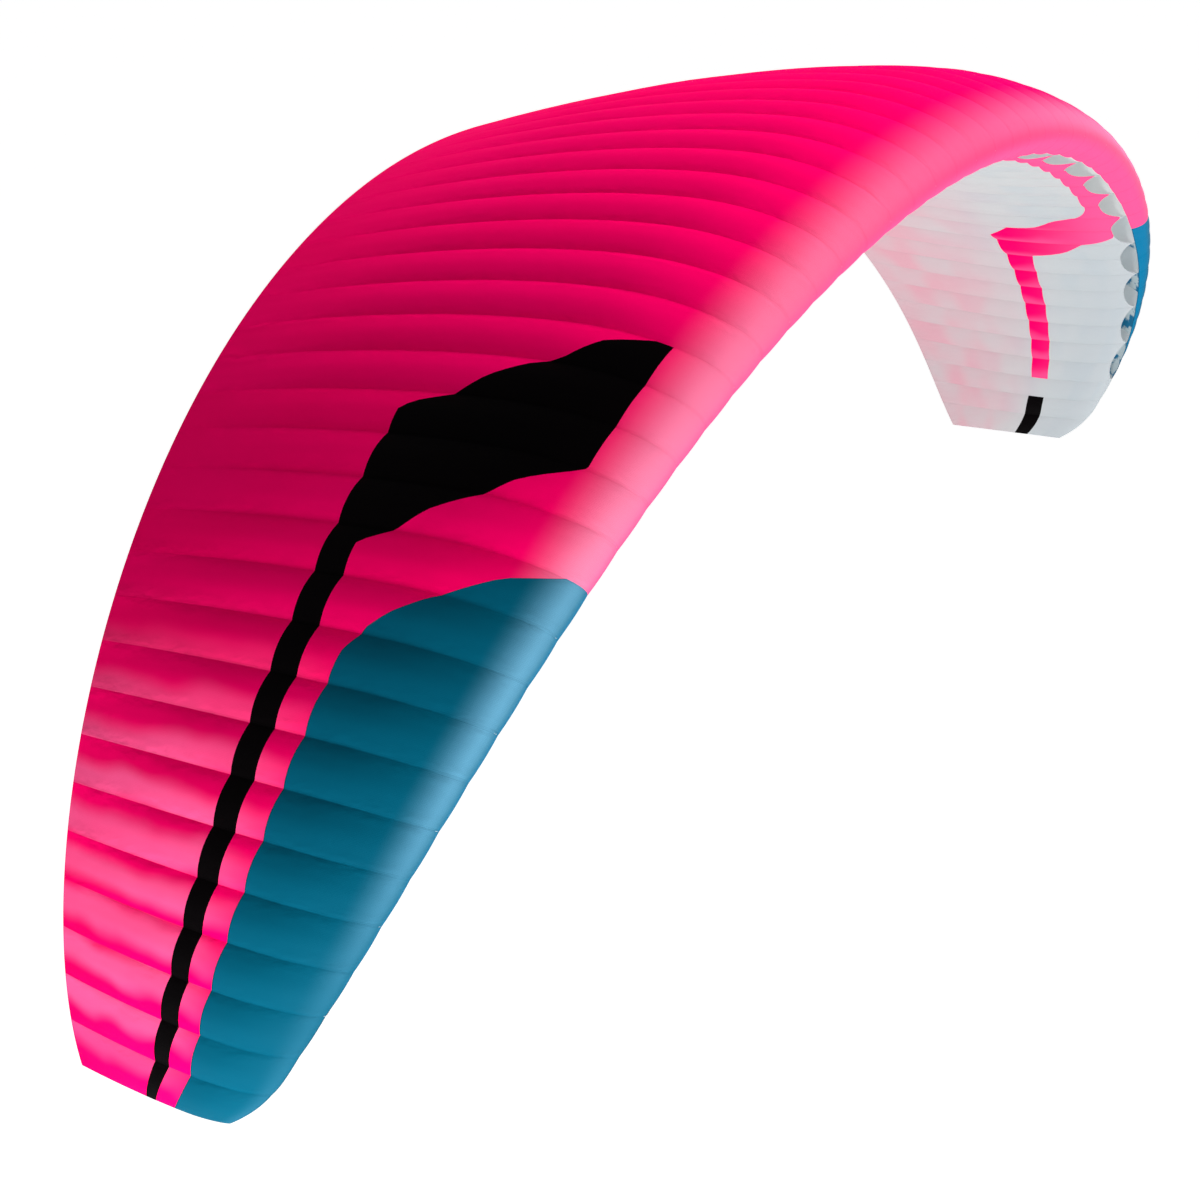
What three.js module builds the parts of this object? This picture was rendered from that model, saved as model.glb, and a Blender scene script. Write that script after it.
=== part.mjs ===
// A ram-air paraglider wing in its flying shape: an arched, double-skinned cloth wing whose
// cells stand full of air between ribs, with intakes under the nose and colour-blocked skins.
//
// Frame: X runs along the span, -Y points forward, +Z up. The origin is the front point of
// the centre section. "right" is the wing's own right half (-X), "left" is the half at +X.
//
// Two coordinates place every point of the skins:
//   cell  counts cells outwards from the centre plane, so ribs stand at 0.5, 1.5, 2.5 ...
//   row   is the signed square root of the chord fraction: 1 is the trailing edge on top,
//         0 the nose and -1 the trailing edge underneath.

import * as THREE from "three";

// ---- Driving dimensions (mm and radians) -------------------------------------------------

const CELLS = 55;
const HALF_SPAN = 5750;
const RIB_CROWDING = 0.058;       // how much closer the ribs stand towards the tips

const ARCH_ROLL = 1.38;           // roll of the tip section
const ARCH_EVEN_SHARE = 0.75;     // share of that roll that builds up evenly
const ARCH_POWER = 3.35;          // how late the rest of it comes

const ROOT_CHORD = 3015;
const TIP_CHORD_RATIO = 0.306;
const CHORD_POWER = 1.363;
const CENTRE_ROUNDING = 0.15;     // share of the half span over which the centre is rounded off
const EVEN_SWEEP = 723;           // setback of the tip's nose that grows with the square
const TIP_SWEEP = 475;            // and the setback that comes in near the tip
const TIP_SWEEP_POWER = 5.43;
const TIP_CUT = 94;               // rounded-off front corner of the tip
const TIP_CUT_FROM = 0.955;

const THICKNESS = 0.1515;         // of the chord
const CAMBER = 0.022;             // of the chord
const CAMBER_AT = 0.25;
const TIP_THICKNESS_RATIO = 0.35; // the closed tip cells get thinner towards the tip

const SKIN = 2;
const RIB_SHEET = 2;
const GAP = 0.3;                  // between pieces that are sewn together
const RIB_GAP = 0.4;              // between a rib's edge and the inner face of the skin

const TOP_BULGE = 0.09;           // height of a filled cell over its ribs, of the cell's width
const LOWER_BULGE = 0.07;

// ---- Where the cloth is cut --------------------------------------------------------------

const HALF_CELLS = CELLS / 2;
const LAST_MOUTH_CELL = 24.5;     // the cells beyond this rib are closed
const RIB_END_ROW = 0.97;         // ribs stop just short of the trailing edge
const CUT_BACK_TOP_ROW = 0.3;     // front edge of the ribs that stand in the middle of a mouth
const CUT_BACK_LOWER_ROW = 0.38;

const BLACK_FROM = 10.5;
const BLUE_FROM = 15.5;
const LOWER_PINK_TO = 24.5;
const LOWER_BLACK_FROM = 25.5;

const LIP = [
  { cell: 0, row: 0.215 },
  { cell: 12.5, row: 0.213 },
  { cell: 16.5, row: 0.18 },
  { cell: 20.5, row: 0.125 },
  { cell: 24.5, row: 0.02 },
  { cell: 27.5, row: 0.0 },
];
const MOUTH_BOTTOM = [
  { cell: 0, row: 0.33 },
  { cell: 13.5, row: 0.31 },
  { cell: 17.5, row: 0.275 },
  { cell: 24.5, row: 0.18 },
];
const BLACK_FRONT = [
  { cell: 10.5, row: 0.29 },
  { cell: 13.5, row: 0.29 },
  { cell: 15.83, row: 0.633 },
  { cell: 24.5, row: 0.636 },
  { cell: 27.5, row: 0.667 },
];
const BLACK_REAR = [
  { cell: 10.5, row: 0.32 },
  { cell: 10.83, row: 0.42 },
  { cell: 12.1, row: 0.58 },
  { cell: 13.1, row: 0.686 },
  { cell: 24.5, row: 0.692 },
  { cell: 27.5, row: 0.716 },
];
const BLUE_REAR = [
  { cell: 15.5, row: 0.12 },
  { cell: 15.83, row: 0.31 },
  { cell: 16.6, row: 0.453 },
  { cell: 17.5, row: 0.56 },
  { cell: 17.9, row: 0.58 },
  { cell: 27.5, row: 0.568 },
];
const LOWER_PINK_REAR = [
  { cell: 0, row: 0.37 },
  { cell: 13.5, row: 0.37 },
  { cell: 14.5, row: 0.435 },
  { cell: 15.9, row: 0.665 },
  { cell: 17.5, row: 0.655 },
  { cell: 24.5, row: 0.63 },
];
const LOWER_PINK_FRONT = [
  { cell: 15.5, row: 0.24 },
  { cell: 15.83, row: 0.305 },
  { cell: 16.5, row: 0.43 },
  { cell: 17.4, row: 0.59 },
  { cell: 24.5, row: 0.56 },
];
const LOWER_BLACK_FRONT = [
  { cell: 25.5, row: 0.56 },
  { cell: 27.5, row: 0.55 },
];
const LOWER_BLACK_REAR = [
  { cell: 25.5, row: 0.633 },
  { cell: 27.5, row: 0.648 },
];
const BULGE_SHAPE = [
  { row: -1, share: 0 },
  { row: -0.9, share: 0.6 },
  { row: -0.7, share: 1 },
  { row: -0.35, share: 0.8 },
  { row: -0.1, share: 0.3 },
  { row: 0.1, share: 0.3 },
  { row: 0.45, share: 1 },
  { row: 0.8, share: 0.8 },
  { row: 1, share: 0 },
];

// ---- Facets ------------------------------------------------------------------------------

const STATIONS_PER_CELL = 3;
const ROWS = [-1, -0.8, -0.6, -0.42, -0.3, -0.2, -0.11, -0.03, 0.06, 0.16, 0.28, 0.42, 0.58, 0.78, 1];
const ROW_CLEARANCE = 0.0008;     // a facet row this close to a seam is left out
const ARCH_STEPS = 800;
const DIFFERENCE = 1e-3;

const PINK = { color: 0xee0a6c, roughness: 0.55, metalness: 0 };
const BLACK = { color: 0x0c0c0e, roughness: 0.5, metalness: 0 };
const BLUE = { color: 0x0f7ea0, roughness: 0.55, metalness: 0 };
const WHITE = { color: 0xdfe2e6, roughness: 0.6, metalness: 0 };
const RIB_GREY = { color: 0xb9bcbd, roughness: 0.7, metalness: 0 };

// ---- Shape of the wing -------------------------------------------------------------------

/** Straight-line value of a table with named columns. */
function along(table, key, value, at) {
  const last = table.length - 1;
  if (at <= table[0][key]) return table[0][value];
  if (at >= table[last][key]) return table[last][value];
  const next = table.findIndex((entry) => entry[key] > at);
  const [a, b] = [table[next - 1], table[next]];
  return a[value] + ((b[value] - a[value]) * (at - a[key])) / (b[key] - a[key]);
}

const edge = (table) => (cell) => along(table, "cell", "row", Math.abs(cell));
const lip = edge(LIP);

/** Fraction of the half span at which a cell coordinate lies, with its sign. */
function spanFraction(cell) {
  const q = cell / HALF_CELLS;
  return (1 + RIB_CROWDING) * q - RIB_CROWDING * q ** 3;
}

function archRoll(u) {
  const even = ARCH_EVEN_SHARE * Math.abs(u);
  const late = (1 - ARCH_EVEN_SHARE) * Math.abs(u) ** ARCH_POWER;
  return Math.sign(u) * ARCH_ROLL * (even + late);
}

/** Points along half of the arch, walked out from the centre in equal steps. */
function walkArch() {
  const step = HALF_SPAN / ARCH_STEPS;
  const points = [{ x: 0, z: 0 }];
  for (let i = 0; i < ARCH_STEPS; i += 1) {
    const roll = archRoll((i + 0.5) / ARCH_STEPS);
    const last = points[i];
    points.push({ x: last.x + step * Math.cos(roll), z: last.z - step * Math.sin(roll) });
  }
  return points;
}

const ARCH = walkArch();

function archPoint(u) {
  const at = Math.min(Math.abs(u), 1) * ARCH_STEPS;
  const i = Math.min(Math.floor(at), ARCH_STEPS - 1);
  const x = THREE.MathUtils.lerp(ARCH[i].x, ARCH[i + 1].x, at - i);
  const z = THREE.MathUtils.lerp(ARCH[i].z, ARCH[i + 1].z, at - i);
  return { x: Math.sign(u) * x, z };
}

function tipCut(u) {
  const inCut = Math.max(0, (Math.abs(u) - TIP_CUT_FROM) / (1 - TIP_CUT_FROM));
  return TIP_CUT * inCut ** 2;
}

/** Share of the chord's shrinkage reached at u: a power of u, rounded off at the centre. */
function shrinkage(u) {
  const rounded = (v) => (v * v + CENTRE_ROUNDING ** 2) ** (CHORD_POWER / 2);
  return (rounded(u) - rounded(0)) / (rounded(1) - rounded(0));
}

function chord(u) {
  const square = 1 - (1 - TIP_CHORD_RATIO ** 2) * shrinkage(u);
  return ROOT_CHORD * Math.sqrt(square) - tipCut(u);
}

function noseSetback(u) {
  return EVEN_SWEEP * u ** 2 + TIP_SWEEP * Math.abs(u) ** TIP_SWEEP_POWER + tipCut(u);
}

function thinning(cell) {
  const inTip = (Math.abs(cell) - LAST_MOUTH_CELL) / (HALF_CELLS - LAST_MOUTH_CELL);
  return 1 - (1 - TIP_THICKNESS_RATIO) * Math.max(0, inTip) ** 1.5;
}

/** Point of the cell's section in its own plane: y runs aft, z away from the arch's centre. */
function sectionPoint(cell, row) {
  const u = spanFraction(cell);
  const length = chord(u);
  const x = row * row;
  const poly = 0.2969 * Math.abs(row) - 0.126 * x - 0.3516 * x ** 2 + 0.2843 * x ** 3 - 0.1036 * x ** 4;
  const half = (THICKNESS / 0.2) * poly * length * thinning(cell);
  const p = CAMBER_AT;
  const mean = x < p
    ? (CAMBER / p ** 2) * (2 * p * x - x * x)
    : (CAMBER / (1 - p) ** 2) * (1 - 2 * p + 2 * p * x - x * x);
  const edgeHalf = (SKIN + GAP / 2) * row * Math.abs(row);
  return { y: noseSetback(u) + x * length, z: mean * length + Math.sign(row) * half + edgeHalf };
}

function surfacePoint(cell, row) {
  const u = spanFraction(cell);
  const roll = archRoll(u);
  const base = archPoint(u);
  const flat = sectionPoint(cell, row);
  return new THREE.Vector3(base.x + flat.z * Math.sin(roll), flat.y, base.z + flat.z * Math.cos(roll));
}

/** The surface's outward normal and its direction along the row coordinate. */
function surfaceAxes(cell, row) {
  const c0 = Math.max(cell - DIFFERENCE, -HALF_CELLS);
  const c1 = Math.min(cell + DIFFERENCE, HALF_CELLS);
  const r0 = Math.max(row - DIFFERENCE, -1);
  const r1 = Math.min(row + DIFFERENCE, 1);
  const spanwise = surfacePoint(c1, row).sub(surfacePoint(c0, row));
  const chordwise = surfacePoint(cell, r1).sub(surfacePoint(cell, r0)).divideScalar(r1 - r0);
  return { normal: spanwise.clone().cross(chordwise).normalize(), chordwise };
}

/** Height of the filled cell over the line of its ribs. */
function bulge(cell, row) {
  const across = cell + HALF_CELLS - Math.floor(cell + HALF_CELLS + 1e-9);
  const nearer = Math.floor(Math.abs(cell) + 0.5) - 0.5;
  const width = HALF_SPAN * Math.abs(spanFraction(nearer + 1) - spanFraction(nearer));
  const share = along(BULGE_SHAPE, "row", "share", row);
  return (row > 0 ? TOP_BULGE : LOWER_BULGE) * width * share * 4 * across * (1 - across);
}

// ---- Facetted skins ----------------------------------------------------------------------

const gridPoints = new Map();

/** Corner of the facets, lifted off the rib line by the bulge and sunk by a depth. */
function gridPoint(station, rowIndex, depth) {
  const key = `${station} ${rowIndex} ${depth}`;
  if (!gridPoints.has(key)) {
    const cell = station / STATIONS_PER_CELL - HALF_CELLS;
    const row = ROWS[rowIndex];
    const { normal } = surfaceAxes(cell, row);
    const lift = bulge(cell, row) - depth;
    gridPoints.set(key, surfacePoint(cell, row).addScaledVector(normal, lift));
  }
  return gridPoints.get(key);
}

/** Any point on the facets, worked out between the four corners around it. */
function skinPoint(cell, row, depth) {
  const at = (cell + HALF_CELLS) * STATIONS_PER_CELL;
  const station = Math.min(Math.floor(at + 1e-6), CELLS * STATIONS_PER_CELL - 1);
  const i = Math.max(0, Math.min(ROWS.length - 2, ROWS.findLastIndex((r) => r <= row)));
  const t = (row - ROWS[i]) / (ROWS[i + 1] - ROWS[i]);
  const near = gridPoint(station, i, depth).clone().lerp(gridPoint(station, i + 1, depth), t);
  const far = gridPoint(station + 1, i, depth).clone().lerp(gridPoint(station + 1, i + 1, depth), t);
  return near.lerp(far, at - station);
}

/** How far, in row units, a sewn edge is set back from its seam so that GAP stays open. */
function seamInset(edgeRow, cell) {
  const reach = 1 / (2 * STATIONS_PER_CELL);
  const c0 = Math.max(cell - reach, -HALF_CELLS);
  const c1 = Math.min(cell + reach, HALF_CELLS);
  const run = surfacePoint(c1, edgeRow(c1)).sub(surfacePoint(c0, edgeRow(c0)));
  const { chordwise } = surfaceAxes(cell, edgeRow(cell));
  const lean = Math.max(0.2, Math.sin(run.angleTo(chordwise)));
  return GAP / 2 / (chordwise.length() * lean);
}

/** One stretch of a panel between two cell coordinates, bounded by two edges. */
function stretch(from, to, low, high, trimFrom = 0, trimTo = 0) {
  return { from, to, low, high, trimFrom, trimTo };
}

/** The same stretch on the other half of the wing. */
function mirrored({ from, to, low, high, trimFrom, trimTo }) {
  return { from: -to, to: -from, low, high, trimFrom: trimTo, trimTo: trimFrom };
}

function stationsOf({ from, to, trimFrom, trimTo }) {
  const cells = [from + trimFrom];
  const first = Math.round((from + HALF_CELLS) * STATIONS_PER_CELL);
  const last = Math.round((to + HALF_CELLS) * STATIONS_PER_CELL);
  for (let station = first + 1; station < last; station += 1) {
    cells.push(station / STATIONS_PER_CELL - HALF_CELLS);
  }
  cells.push(to - trimTo);
  return cells;
}

/** The two edge rows of a stretch at a cell coordinate, set back from their seams. */
function edgeRows({ low, high }, cell) {
  const [a, b] = [low(cell), high(cell)];
  const lowRow = a <= -1 ? a : a + seamInset(low, cell);
  const highRow = b >= 1 ? b : b - seamInset(high, cell);
  return lowRow < highRow ? [lowRow, highRow] : [(a + b) / 2, (a + b) / 2];
}

const keyOf = (cell) => cell.toFixed(4);

/** All the rows at which a panel has corners, for each of its stations. */
function cornerRows(stretches) {
  const corners = new Map();
  for (const piece of stretches) {
    for (const cell of stationsOf(piece)) {
      const known = corners.get(keyOf(cell)) ?? [];
      corners.set(keyOf(cell), known.concat(edgeRows(piece, cell)));
    }
  }
  for (const [key, edges] of corners) {
    const clear = (row) => edges.every((other) => Math.abs(other - row) > ROW_CLEARANCE);
    corners.set(key, [...edges, ...ROWS.filter(clear)].sort((a, b) => a - b));
  }
  return corners;
}

/** Triangles between two columns of corners, both sorted by row. */
function zip(left, right, emit) {
  let i = 0;
  let k = 0;
  while (i < left.length - 1 || k < right.length - 1) {
    const leftNext = i < left.length - 1 ? left[i + 1].row : Infinity;
    const rightNext = k < right.length - 1 ? right[k + 1].row : Infinity;
    if (leftNext <= rightNext) {
      emit(left[i], right[k], left[i + 1]);
      i += 1;
    } else {
      emit(left[i], right[k], right[k + 1]);
      k += 1;
    }
  }
}

/** Closed sheet of SKIN thickness over all the stretches of one panel. */
function sheetGeometry(stretches) {
  const corners = cornerRows(stretches);
  const index = new Map();
  const places = [];
  const triangles = [];

  const cornerAt = (cell, row) => {
    const key = `${keyOf(cell)} ${row.toFixed(6)}`;
    if (!index.has(key)) {
      index.set(key, places.length);
      places.push({ cell, row });
    }
    return { id: index.get(key), row };
  };

  const column = (piece, cell) => {
    const [low, high] = edgeRows(piece, cell);
    const inside = corners.get(keyOf(cell)).filter((row) => row >= low - 1e-7 && row <= high + 1e-7);
    const apart = inside.filter((row, i) => i === 0 || row - inside[i - 1] > 1e-6);
    return apart.map((row) => cornerAt(cell, row));
  };

  for (const piece of stretches) {
    const cells = stationsOf(piece);
    for (let i = 0; i < cells.length - 1; i += 1) {
      zip(column(piece, cells[i]), column(piece, cells[i + 1]), (a, b, c) => {
        triangles.push([a.id, b.id, c.id]);
      });
    }
  }
  return thicken(places, triangles);
}

/** Outer face, inner face and the walls along every free edge. */
function thicken(places, triangles) {
  const count = places.length;
  const outer = places.map(({ cell, row }) => skinPoint(cell, row, 0));
  const inner = places.map(({ cell, row }) => skinPoint(cell, row, SKIN));
  const faces = [];
  const directed = new Set();
  for (const [a, b, c] of triangles) {
    faces.push([a, b, c], [c + count, b + count, a + count]);
    [[a, b], [b, c], [c, a]].forEach(([p, q]) => directed.add(`${p} ${q}`));
  }
  for (const key of directed) {
    const [p, q] = key.split(" ").map(Number);
    if (!directed.has(`${q} ${p}`)) faces.push([q, p, p + count], [q, p + count, q + count]);
  }
  const geometry = new THREE.BufferGeometry().setFromPoints([...outer, ...inner]);
  geometry.setIndex(faces.flat());
  geometry.computeVertexNormals();
  return geometry;
}

// ---- Ribs --------------------------------------------------------------------------------

/** Point of a rib's outline in its own plane, clear of the skin over the rib's whole width. */
function ribPoint(cell, row) {
  const i = Math.max(0, Math.min(ROWS.length - 2, ROWS.findLastIndex((r) => r <= row)));
  const t = (row - ROWS[i]) / (ROWS[i + 1] - ROWS[i]);
  const roll = archRoll(spanFraction(cell));
  const across = new THREE.Vector3(Math.cos(roll), 0, -Math.sin(roll));
  const up = new THREE.Vector3(Math.sin(roll), 0, Math.cos(roll));
  const corner = (rowIndex) => {
    const flat = sectionPoint(cell, ROWS[rowIndex]);
    const { normal } = surfaceAxes(cell, ROWS[rowIndex]);
    const [ny, nz] = [normal.y, normal.dot(up)];
    const inPlane = Math.hypot(ny, nz);
    const depth = (SKIN + RIB_GAP + (RIB_SHEET / 2) * Math.abs(normal.dot(across))) / inPlane;
    return new THREE.Vector2(flat.y - (depth * ny) / inPlane, flat.z - (depth * nz) / inPlane);
  };
  return corner(i).lerp(corner(i + 1), t);
}

/** A rib's flat panel: the section's outline from the lower rear round the front to the top. */
function ribMesh(name, cell, lowerFront, topFront, outward = 0) {
  const inside = (row) => (row < 0 ? row < lowerFront && row > -RIB_END_ROW : row > topFront && row < RIB_END_ROW);
  const rows = [-RIB_END_ROW, ...ROWS.filter(inside), RIB_END_ROW];
  if (lowerFront < topFront) rows.push(lowerFront, topFront);
  rows.sort((a, b) => a - b);
  const shape = new THREE.Shape(rows.map((row) => ribPoint(cell, row)));
  const geometry = new THREE.ExtrudeGeometry(shape, { depth: RIB_SHEET, bevelEnabled: false });
  const [spanwise, aft, up] = [[1, 0, 0], [0, 1, 0], [0, 0, 1]].map((axis) => new THREE.Vector3(...axis));
  geometry.applyMatrix4(new THREE.Matrix4().makeBasis(aft, up, spanwise));
  geometry.translate(outward - RIB_SHEET / 2, 0, 0);
  const mesh = new THREE.Mesh(geometry, new THREE.MeshStandardMaterial(RIB_GREY));
  const base = archPoint(spanFraction(cell));
  mesh.name = name;
  mesh.position.set(base.x, 0, base.z);
  mesh.rotation.y = archRoll(spanFraction(cell));
  return mesh;
}

// ---- Edges of the panels -----------------------------------------------------------------

const trailingTop = () => 1;
const trailingLower = () => -1;
const under = (rowOf) => (cell) => -rowOf(cell);

/** Front edge of the lower skin: a round-bottomed cut in each mouth, the lip line elsewhere. */
function lowerFront(cell) {
  const out = Math.abs(cell);
  if (out >= LAST_MOUTH_CELL) return lip(cell);
  const middle = out < 0.5 ? 0 : 2 * Math.floor((out - 0.5) / 2) + 1.5;
  const halfWidth = out < 0.5 ? 0.5 : 1;
  const t = Math.min(1, Math.abs(out - middle) / halfWidth);
  return lip(cell) + (edge(MOUTH_BOTTOM)(cell) - lip(cell)) * Math.sqrt(1 - t * t);
}

/** Front edge of the lower pink panel: the mouths inboard, then its own slanting edge. */
function lowerPinkFront(cell) {
  const own = Math.abs(cell) > BLUE_FROM ? edge(LOWER_PINK_FRONT)(cell) : 0;
  return Math.max(lowerFront(cell), own);
}

/** Length of one GAP in cell units, for ends that are set back from a rib seam. */
const END_TRIM = (1.2 * GAP * CELLS) / (2 * HALF_SPAN);
const POINT_TRIM = 8 * END_TRIM;

const topLip = under(lip);
const blackFront = edge(BLACK_FRONT);
const blackRear = edge(BLACK_REAR);
const blueRear = edge(BLUE_REAR);
const pinkRearBelow = under(edge(LOWER_PINK_REAR));
const pinkFrontBelow = under(lowerPinkFront);
const frontBelow = under(lowerFront);
const blackRearBelow = under(edge(LOWER_BLACK_REAR));
const blackFrontBelow = under(edge(LOWER_BLACK_FRONT));

const bothHalves = (stretches) => stretches.flatMap((piece) => [piece, mirrored(piece)]);

// ---- The wing ----------------------------------------------------------------------------

function panelMesh(name, stretches, finish) {
  const mesh = new THREE.Mesh(sheetGeometry(stretches), new THREE.MeshStandardMaterial(finish));
  mesh.name = name;
  return mesh;
}

/** One panel for each half of the wing, made from the stretches of the half at +X. */
function pairOfPanels(name, stretches, finish) {
  return [
    panelMesh(`${name}_left`, stretches, finish),
    panelMesh(`${name}_right`, stretches.map(mirrored), finish),
  ];
}

function topSkin() {
  const pink = [
    stretch(-BLACK_FROM, BLACK_FROM, topLip, trailingTop),
    ...bothHalves([
      stretch(BLACK_FROM, BLUE_FROM, topLip, blackFront),
      stretch(BLUE_FROM, HALF_CELLS, blueRear, blackFront),
      stretch(BLACK_FROM, HALF_CELLS, blackRear, trailingTop),
    ]),
  ];
  return [
    panelMesh("top_pink", pink, PINK),
    ...pairOfPanels("top_black", [stretch(BLACK_FROM, HALF_CELLS, blackFront, blackRear, END_TRIM)], BLACK),
    ...pairOfPanels("top_blue", [stretch(BLUE_FROM, HALF_CELLS, topLip, blueRear, END_TRIM)], BLUE),
  ];
}

function lowerSkin() {
  const pinkSpan = stretch(-LOWER_PINK_TO, LOWER_PINK_TO, pinkRearBelow, pinkFrontBelow, END_TRIM, END_TRIM);
  const white = [
    stretch(-LOWER_PINK_TO, LOWER_PINK_TO, trailingLower, pinkRearBelow),
    ...bothHalves([
      stretch(BLUE_FROM, LOWER_PINK_TO, pinkFrontBelow, frontBelow, POINT_TRIM),
      stretch(LOWER_PINK_TO, LOWER_BLACK_FROM, trailingLower, frontBelow),
      stretch(LOWER_BLACK_FROM, HALF_CELLS, trailingLower, blackRearBelow),
      stretch(LOWER_BLACK_FROM, HALF_CELLS, blackFrontBelow, frontBelow),
    ]),
  ];
  const black = [stretch(LOWER_BLACK_FROM, HALF_CELLS, blackRearBelow, blackFrontBelow, END_TRIM)];
  return [
    panelMesh("lower_white", white, WHITE),
    panelMesh("lower_pink", [pinkSpan], PINK),
    ...pairOfPanels("lower_black", black, BLACK),
  ];
}

/** Ribs at both edges of every mouth, the cut-back ribs inside them, and the tips' end ribs. */
function ribs() {
  const meshes = [];
  const tipInset = RIB_SHEET / 2 + GAP;
  for (const [half, sign] of [["left", 1], ["right", -1]]) {
    for (let cell = 0.5, number = 1; cell <= LAST_MOUTH_CELL; cell += 2, number += 1) {
      meshes.push(ribMesh(`rib_main_${half}_${number}`, sign * cell, 0, 0));
    }
    for (let cell = 1.5, number = 1; cell < LAST_MOUTH_CELL - 2; cell += 2, number += 1) {
      const name = `rib_middle_${half}_${number}`;
      meshes.push(ribMesh(name, sign * cell, -CUT_BACK_LOWER_ROW, CUT_BACK_TOP_ROW));
    }
    meshes.push(ribMesh(`rib_tip_${half}`, sign * HALF_CELLS, 0, 0, -sign * tipInset));
  }
  return meshes;
}

const wing = new THREE.Group();
wing.name = "paraglider_wing";
wing.add(...topSkin(), ...lowerSkin(), ...ribs());

export default wing;
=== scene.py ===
"""Looks of an arched ram-air paraglider wing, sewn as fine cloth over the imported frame.

Frame: metres, X along the span, -Y forward, +Z up, origin on the nose of the centre section.
Two coordinates place every point of the cloth:
    cell  counts cells outwards from the centre plane, so ribs stand at 0.5, 1.5, 2.5 ...
    row   is the signed square root of the chord fraction: 1 is the trailing edge on top,
          0 the nose and -1 the trailing edge underneath.
"""

import logging
import math
from collections.abc import Callable, Sequence
from dataclasses import dataclass, field
from enum import Enum
from typing import Union

import bmesh
import bpy
import numpy as np
from mathutils import Matrix, Vector


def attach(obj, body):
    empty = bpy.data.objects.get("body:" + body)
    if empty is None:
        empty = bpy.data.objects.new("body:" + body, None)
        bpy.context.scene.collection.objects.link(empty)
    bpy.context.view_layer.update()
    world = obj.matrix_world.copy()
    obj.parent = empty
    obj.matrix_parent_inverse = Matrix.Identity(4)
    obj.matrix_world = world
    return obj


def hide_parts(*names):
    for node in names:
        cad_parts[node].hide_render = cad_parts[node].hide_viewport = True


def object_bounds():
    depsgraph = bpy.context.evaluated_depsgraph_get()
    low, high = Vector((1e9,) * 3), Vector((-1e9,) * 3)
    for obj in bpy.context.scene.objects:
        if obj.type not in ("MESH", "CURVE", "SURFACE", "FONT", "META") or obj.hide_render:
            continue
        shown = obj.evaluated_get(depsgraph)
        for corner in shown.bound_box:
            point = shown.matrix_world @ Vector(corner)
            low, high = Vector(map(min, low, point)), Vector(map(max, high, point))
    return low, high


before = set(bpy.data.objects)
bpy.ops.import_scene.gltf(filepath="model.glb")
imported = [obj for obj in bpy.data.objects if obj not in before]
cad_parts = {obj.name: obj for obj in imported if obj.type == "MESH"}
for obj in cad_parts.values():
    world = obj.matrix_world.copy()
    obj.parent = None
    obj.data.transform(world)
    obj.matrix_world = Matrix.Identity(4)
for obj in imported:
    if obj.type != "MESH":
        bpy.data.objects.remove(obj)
CAD_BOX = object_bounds()

LOG = logging.getLogger("wing")
BODY = "root"

WELD_DISTANCE = 2e-5

# A panel that is sparser than that is declared shorter than it measures, so that it fills
# this share. It isn't a measured length.
DECLARED_FILL = 0.32

Curve = Callable[[np.ndarray], np.ndarray]
Stretch = tuple[float, float]
Spot = tuple[float, float, float]
Colour = tuple[float, float, float, float]
BLACK: Colour = (0.0, 0.0, 0.0, 1.0)
WHITE: Colour = (1.0, 1.0, 1.0, 1.0)


class Side(Enum):
    """The wing's own halves, with the sign of X on each."""

    LEFT = 1
    RIGHT = -1

    @property
    def word(self) -> str:
        """The half's name as node names spell it."""
        return self.name.lower()

    def stretch(self, inner: float, outer: float) -> Stretch:
        """The stretch between two distances from the centre plane, its lower end first."""
        return tuple(sorted((self.value * inner, self.value * outer)))


class Slot(Enum):
    """The record's material slots."""

    PINK = "ripstop_pink"
    BLACK = "ripstop_black"
    BLUE = "ripstop_blue"
    WHITE = "ripstop_white"
    RIB = "rib_cloth"


# ---- Shape of the wing -------------------------------------------------------------------


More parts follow.
